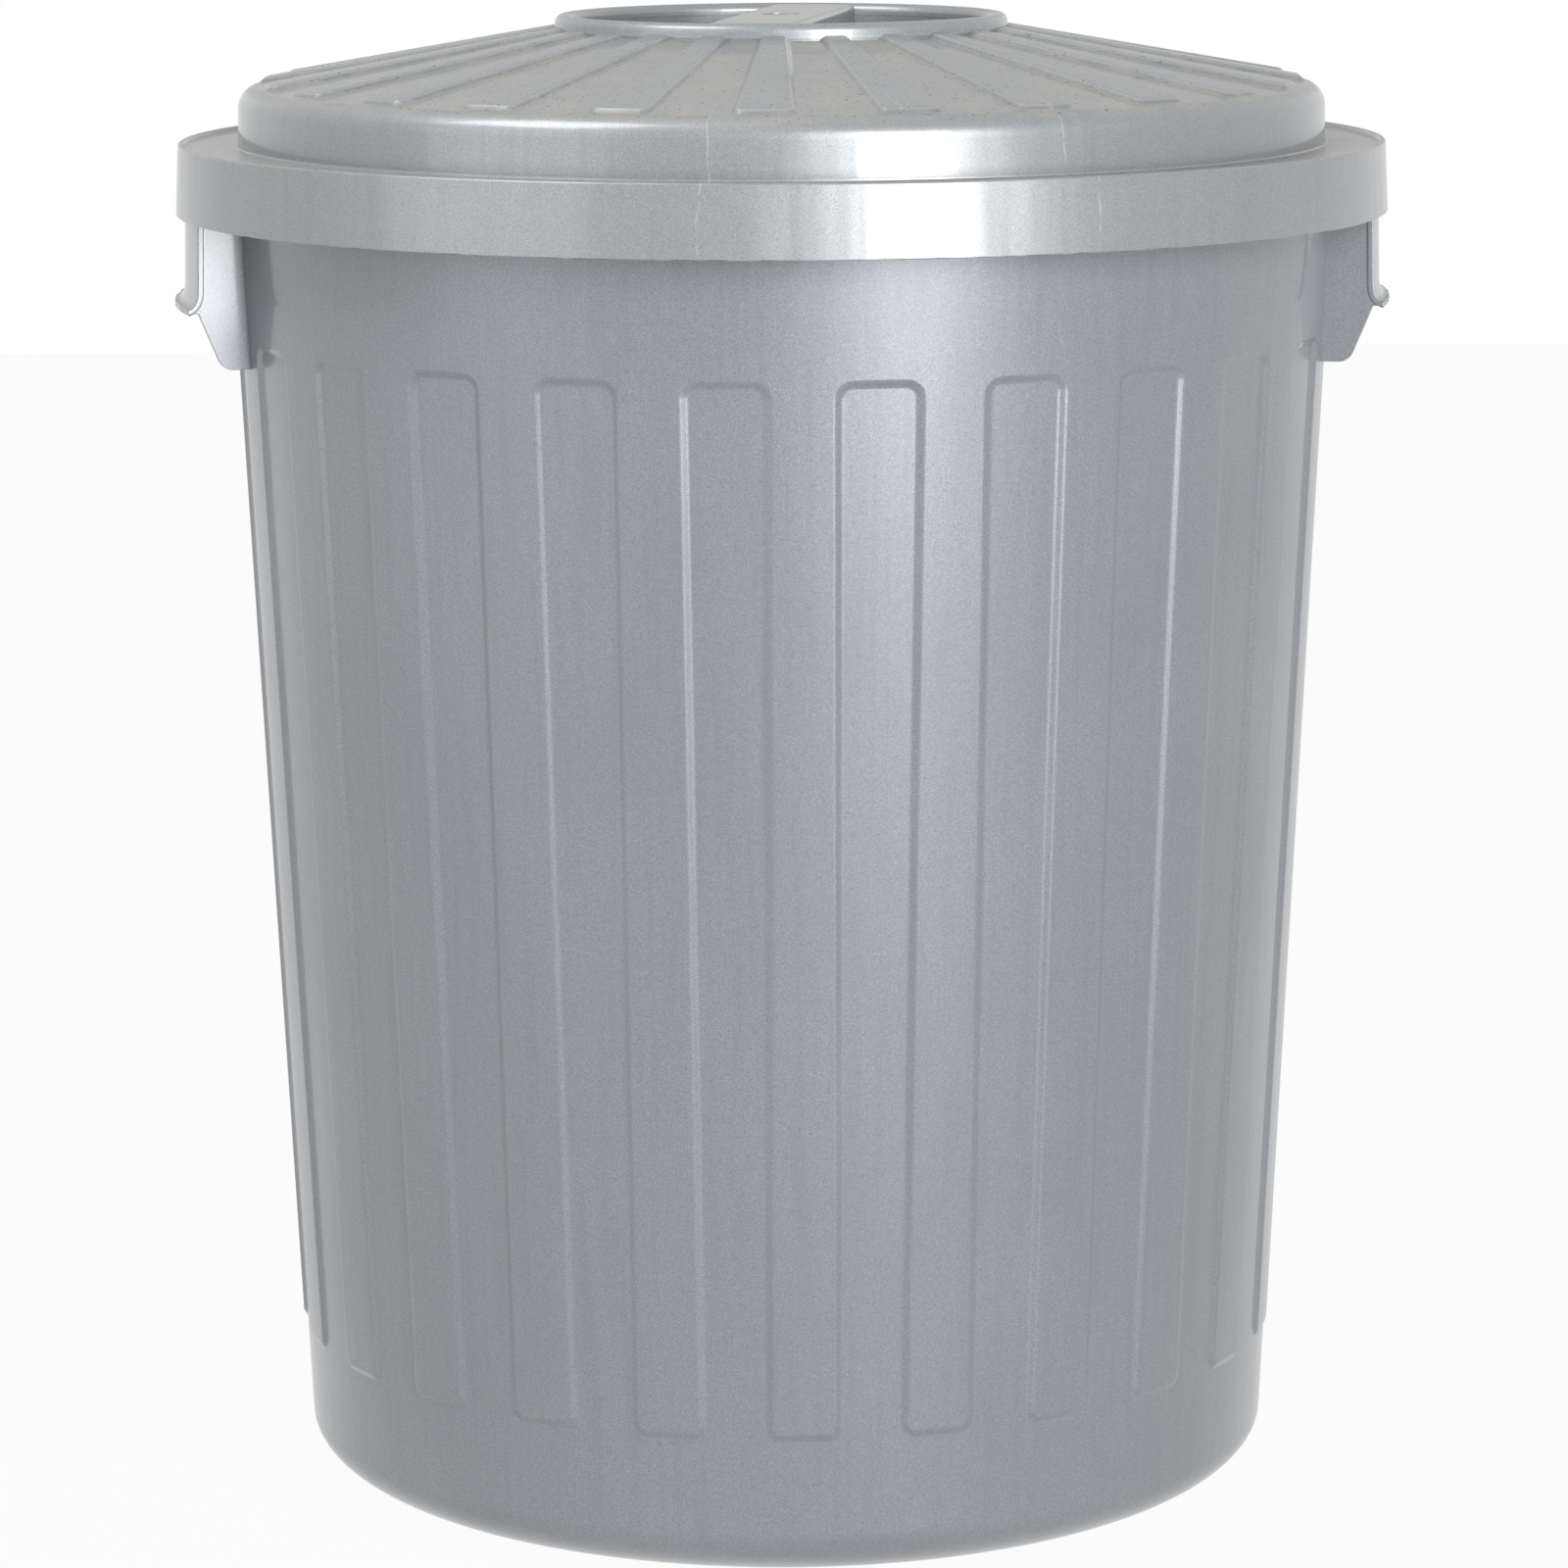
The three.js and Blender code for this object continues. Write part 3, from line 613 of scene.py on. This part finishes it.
def flakePlastic(look):
    material = bpy.data.materials.new(look["name"])
    material.use_nodes = True
    tree = material.node_tree
    tree.nodes.clear()
    start = Wire(tree)
    spot = start.node("ShaderNodeTexCoord", output=3)
    facing = start.node("ShaderNodeTexCoord", output=1)

    def noise(scale, detail=2, rough=0.5, vector=spot, output=0):
        return start.node("ShaderNodeTexNoise", {}, {"Vector": vector, "Scale": scale, "Detail": detail,
                                                     "Roughness": rough}, output)

    def stretched(height):
        return start.node("ShaderNodeVectorMath", {"operation": "MULTIPLY"}, {0: spot, 1: (1, 1, height)})

    grain = noise(look["grainScale"], 3, 0.6).ease(0.32, 0.68)
    cells = start.node("ShaderNodeTexVoronoi", {}, {"Vector": spot, "Scale": look["flakeScale"]}, 1)
    chance = start.node("ShaderNodeSeparateColor", {}, {"Color": cells}, 0)
    spark = chance.ease(0.8, 1.0)
    cloud = noise(look["cloudScale"], 3).ease(0.35, 0.65)
    waves = noise(look["waveScale"], 2, 0.45, stretched(0.16))
    streaks = noise(look["streakScale"], 2, 0.5, stretched(0.012))

    colour = grain.blend(look["shade"], look["colour"])
    colour = (cloud * 0.22).blend(colour, look["shade"])
    colour = (streaks.ease(0.45, 0.7) * 0.25).blend(colour, look["shade"])
    colour = (spark * 0.12).blend(colour, look["spark"])
    place = [start.node("ShaderNodeSeparateXYZ", {}, {"Vector": spot}, axis) for axis in range(3)]
    weld = 0
    wander = (noise(45, 2) - 0.5) * 0.006
    for direction in look["welds"]:
        turn = math.radians(direction)
        aside = (place[0] * math.sin(turn) - place[1] * math.cos(turn) + wander).size()
        ahead = (place[0] * math.cos(turn) + place[1] * math.sin(turn)).ease(0.19, 0.2)
        weld = (1 - aside.ease(0.0001, 0.0007)) * ahead + weld
    if look["welds"]:
        weld = weld * noise(160, 3, 0.6).ease(0.36, 0.56)
        colour = (weld * 0.3).blend(colour, look["weldColour"])

    # a little dust and brown specks lie on what faces up
    up = start.node("ShaderNodeSeparateXYZ", {}, {"Vector": facing}, 2).ease(0.55, 0.95)
    settled = up * noise(look["dustScale"], 4, 0.6).ease(0.3, 0.7) * look["dust"]
    if look["cone"]:
        # less dust on the ribs, painted shade along their feet, and a painted highlight along their upper edges
        lean, foot = look["cone"]
        out = (place[0] * place[0] + place[1] * place[1]) ** 0.5
        rise = place[2] + out * lean - foot
        settled = settled * (1 - rise.ease(0.0004, 0.0016) * 0.7)
        # painted shade: a darker, broken line along the feet of the ribs
        footShade = rise.ease(0.0001, 0.0005) * (1 - rise.ease(0.0005, 0.0014))
        footShade = footShade * noise(look["footShadeScale"], 3, 0.6).ease(0.25, 0.6)
        colour = (footShade * 0.5).blend(colour, look["footShadeColour"])
        # painted highlight: a lighter line along the ribs' upper edges
        edgeHighlight = rise.ease(0.0012, 0.0017) * (1 - rise.ease(0.0017, 0.00194))
        colour = (edgeHighlight * 0.22).blend(colour, look["edgeHighlightColour"])
    colour = settled.blend(colour, look["dustColour"])
    specks = noise(look["speckScale"], 2).ease(0.65, 0.7) * up * 0.75
    colour = specks.blend(colour, look["speckColour"])

    # heights in metres: waviness, moulded grain, streaks and the welds' fine grooves
    bumpHeight = (waves * look["wave"] + noise(look["grainScale"], 2) * 0.000008 + streaks * 0.000012
                  - weld * 0.00003)
    normal = start.node("ShaderNodeBump", {}, {"Strength": 1.0, "Distance": 1.0, "Height": bumpHeight})
    roughness = look["roughness"] + (grain - 0.5) * 0.04 + cloud * 0.03 + up * 0.14 + settled * 0.2
    shader = start.node("ShaderNodeBsdfPrincipled", {}, {
        "Base Color": colour, "Metallic": look["metallic"] - up * 0.18, "Roughness": roughness,
        "Coat Weight": look["coat"] - up * look["coat"] * 0.6, "Coat Roughness": look["coatRoughness"],
        "Normal": normal})
    start.node("ShaderNodeOutputMaterial", {}, {"Surface": shader})
    return material


binMoulding = makeBin(binShape)
print("bin moulding:", len(binMoulding.data.polygons), "faces")
lidMoulding = makeLid(lidShape)
print("lid moulding:", len(lidMoulding.data.polygons), "faces")

for piece, look, body, node, slot in ((binMoulding, binLook, "bin", "bin_body", "bin_plastic"),
                                      (lidMoulding, lidLook, "lid", "lid", "lid_plastic")):
    material = flakePlastic(look)
    piece.data.materials.clear()
    piece.data.materials.append(material)
    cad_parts[node].data.materials.clear()
    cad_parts[node].data.materials.append(material)
    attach(piece, body)
    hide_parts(node)
print("pieces dressed")


# the white background is what the camera, a gloss and a glass see; the object is lit by less
def shownWhite(wires):
    path = wires.tree.nodes.new("ShaderNodeLightPath")
    rays = [Wire(wires.tree, path.outputs[kind])
            for kind in ("Is Camera Ray", "Is Glossy Ray", "Is Transmission Ray")]
    return wires.maths("MAXIMUM", wires.maths("MAXIMUM", rays[0], rays[1]), rays[2])


stageLook = {"floorSize": 9, "floor": (0.5, 0.5, 0.5, 1), "shine": 0.96, "world": 0.18}

letGo()
bpy.ops.mesh.primitive_plane_add(size=stageLook["floorSize"], location=(0, 0, 0))
floor = named("studioFloor")
floorMaterial = bpy.data.materials.new("paleFloor")
floorMaterial.use_nodes = True
floorMaterial.node_tree.nodes.clear()
sheet = Wire(floorMaterial.node_tree)
seen = shownWhite(sheet)
paint = sheet.node("ShaderNodeBsdfDiffuse", {}, {"Color": stageLook["floor"]})
glow = sheet.node("ShaderNodeEmission", {}, {"Color": (1, 1, 1, 1), "Strength": 1.0})
sheet.node("ShaderNodeOutputMaterial", {}, {"Surface": sheet.node(
    "ShaderNodeMixShader", {}, {0: seen * stageLook["shine"], 1: paint, 2: glow})})
floor.data.materials.append(floorMaterial)

world = bpy.data.worlds.new("whiteStudio")
bpy.context.scene.world = world
world.use_nodes = True
world.node_tree.nodes.clear()
sky = Wire(world.node_tree)
seenSky = shownWhite(sky)
soft = sky.node("ShaderNodeBackground", {}, {"Color": (1, 1, 1, 1), "Strength": stageLook["world"]})
white = sky.node("ShaderNodeBackground", {}, {"Color": (1, 1, 1, 1), "Strength": 1.0})
sky.node("ShaderNodeOutputWorld", {}, {"Surface": sky.node(
    "ShaderNodeMixShader", {}, {0: seenSky, 1: soft, 2: white})})

lamps = {
    "rightBox": {"place": (1.0, -2.4, 1.13), "size": (0.92, 1.8), "power": 62},
    "leftBox": {"place": (-2.1, -1.4, 1.1), "size": (1.9, 1.9), "power": 9.5},
    "topBox": {"place": (-1.2, -0.5, 2.2), "size": (1.1, 1.1), "power": 19, "aim": 0.55},
}
for name, lamp in lamps.items():
    light = bpy.data.lights.new(name, "AREA")
    light.shape = "RECTANGLE"
    light.size, light.size_y = lamp["size"]
    light.energy = lamp["power"]
    holder = bpy.data.objects.new(name, light)
    bpy.context.collection.objects.link(holder)
    holder.location = lamp["place"]
    aim = Vector((0, 0, lamp.get("aim", lamp["place"][2]))) - Vector(lamp["place"])
    holder.rotation_euler = aim.to_track_quat("-Z", "Y").to_euler()

view = {"place": (-0.0821, -2.4043, 0.7262), "look": (0.03357, 0.98333, -0.17873),
        "lens": 133.02, "sensor": 36, "roll": -0.00378}
eye = bpy.data.cameras.new("photoCamera")
eye.lens, eye.sensor_width = view["lens"], view["sensor"]
camera = bpy.data.objects.new("photoCamera", eye)
bpy.context.collection.objects.link(camera)
camera.location = view["place"]
camera.rotation_mode = "QUATERNION"
camera.rotation_quaternion = Vector(view["look"]).to_track_quat("-Z", "Y") @ Quaternion((0, 0, 1), view["roll"])
bpy.context.scene.camera = camera
bpy.context.scene.view_settings.view_transform = "Standard"
print("stage set")
